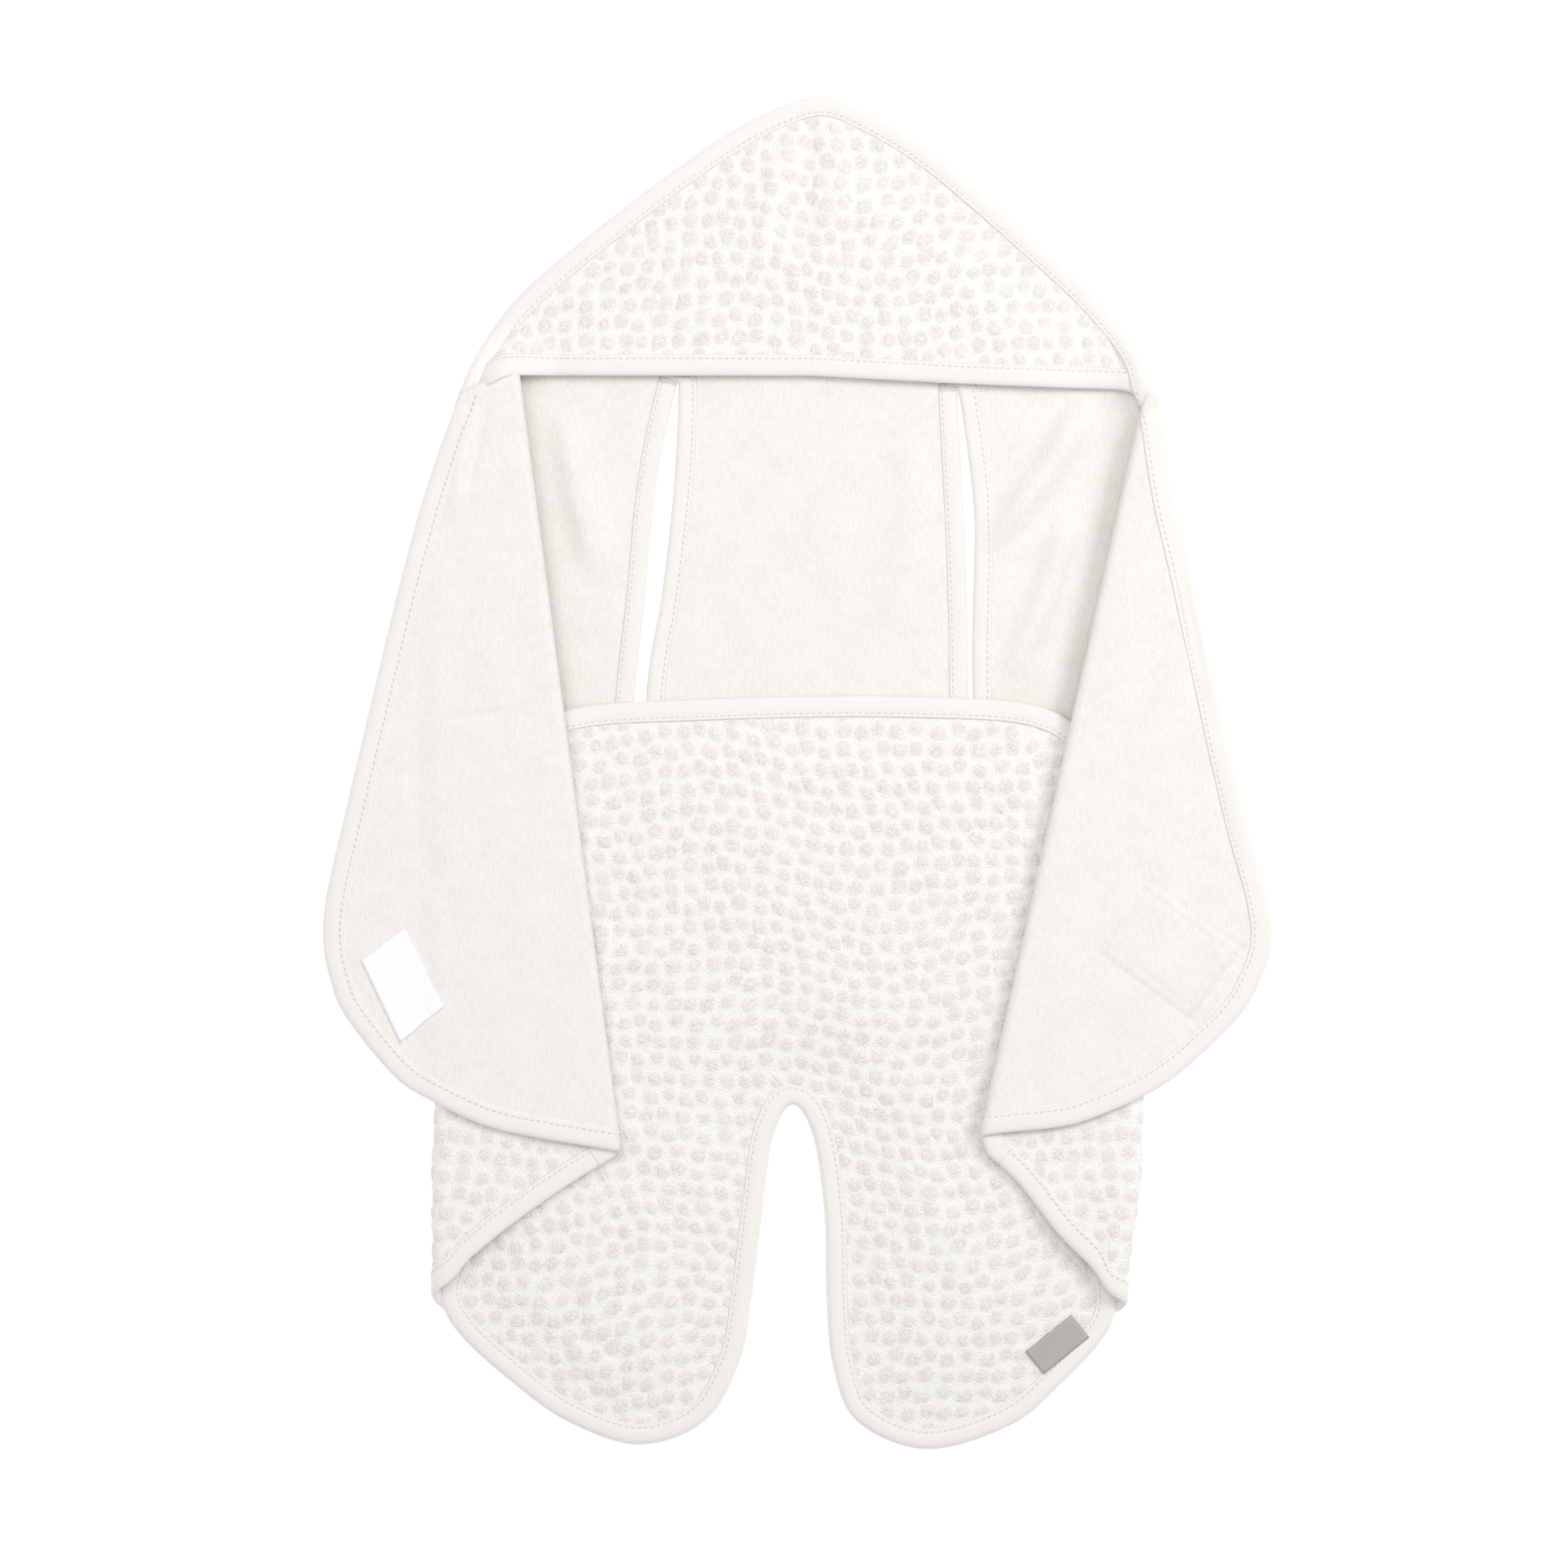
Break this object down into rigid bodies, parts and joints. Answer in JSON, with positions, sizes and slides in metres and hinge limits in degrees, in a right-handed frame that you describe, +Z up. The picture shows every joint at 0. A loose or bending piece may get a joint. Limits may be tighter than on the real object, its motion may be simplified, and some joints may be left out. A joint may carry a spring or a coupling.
{
  "type": "hooded baby towel",
  "caption": "Hooded baby towel with a leg pouch and two belt slits, lying flat with its wings folded outwards over the sides.",
  "frame": {"origin": "centre of the outline's bounding box, on the surface the towel lies on", "axes": "+Y from the feet to the point of the hood, +X to the right seen from above, +Z up out of the towel"},
  "size_m": [0.5091, 0.73, 0.0226],
  "materials": {
    "terry": "patterned terry pile with raised dots",
    "jersey": "fine marled knit",
    "binding": "folded knit tape",
    "thread": "sewing thread",
    "label": "plain woven satin",
    "hook_tape": "hook tape",
    "loop_tape": "brushed loop tape"
  },
  "bodies": {
    "back": {"back_shell": "terry", "back_lining": "jersey", "leg_front_shell": "terry", "leg_front_lining": "jersey", "leg_binding": "binding", "leg_seam_thread": "thread", "pouch_binding": "binding", "pouch_seam_thread": "thread", "left_slit_binding": "binding", "left_slit_thread": "thread", "right_slit_binding": "binding", "right_slit_thread": "thread", "side_label": "label"},
    "hood": {"hood_back_shell": "terry", "hood_back_lining": "jersey", "hood_edge_binding": "binding", "hood_edge_seam_thread": "thread"},
    "hood_front": {"hood_front_shell": "terry", "hood_front_lining": "jersey", "hood_front_binding": "binding", "hood_front_seam_thread": "thread"},
    "left_side": {"left_side_shell": "terry", "left_side_lining": "jersey", "left_side_binding": "binding", "left_side_seam_thread": "thread"},
    "left_wing": {"left_wing_shell": "terry", "left_wing_lining": "jersey", "left_wing_binding": "binding", "left_wing_seam_thread": "thread", "hook_patch": "hook_tape"},
    "right_side": {"right_side_shell": "terry", "right_side_lining": "jersey", "right_side_binding": "binding", "right_side_seam_thread": "thread"},
    "right_wing": {"right_wing_shell": "terry", "right_wing_lining": "jersey", "right_wing_binding": "binding", "right_wing_seam_thread": "thread", "loop_patch": "loop_tape"}
  },
  "joints": [
    {"name": "hood_lift", "type": "hinge", "parent": "back", "child": "hood", "pos_m": [0, 0.198, 0.0042], "axis": [1, 0, 0], "range_deg": [0, 80]},
    {"name": "hood_open", "type": "hinge", "parent": "hood", "child": "hood_front", "pos_m": [0, 0.3515, 0.0094], "axis": [-1, 0, 0], "range_deg": [0, 18]},
    {"name": "left_side_unfold", "type": "hinge", "parent": "back", "child": "left_side", "pos_m": [-0.18794, -0.02, 0.0088], "axis": [-0.0387, -0.9993, 0], "range_deg": [0, 177]},
    {"name": "left_wing_wrap", "type": "hinge", "parent": "left_side", "child": "left_wing", "pos_m": [-0.11972, -0.02, 0.018], "axis": [-0.13, 0.9915, 0], "range_deg": [0, 176]},
    {"name": "right_side_unfold", "type": "hinge", "parent": "back", "child": "right_side", "pos_m": [0.18762, -0.02, 0.0088], "axis": [0.0178, 0.9998, 0], "range_deg": [0, 180]},
    {"name": "right_wing_wrap", "type": "hinge", "parent": "right_side", "child": "right_wing", "pos_m": [0.13768, -0.02, 0.018], "axis": [-0.2164, -0.9763, 0], "range_deg": [0, 180]}
  ]
}
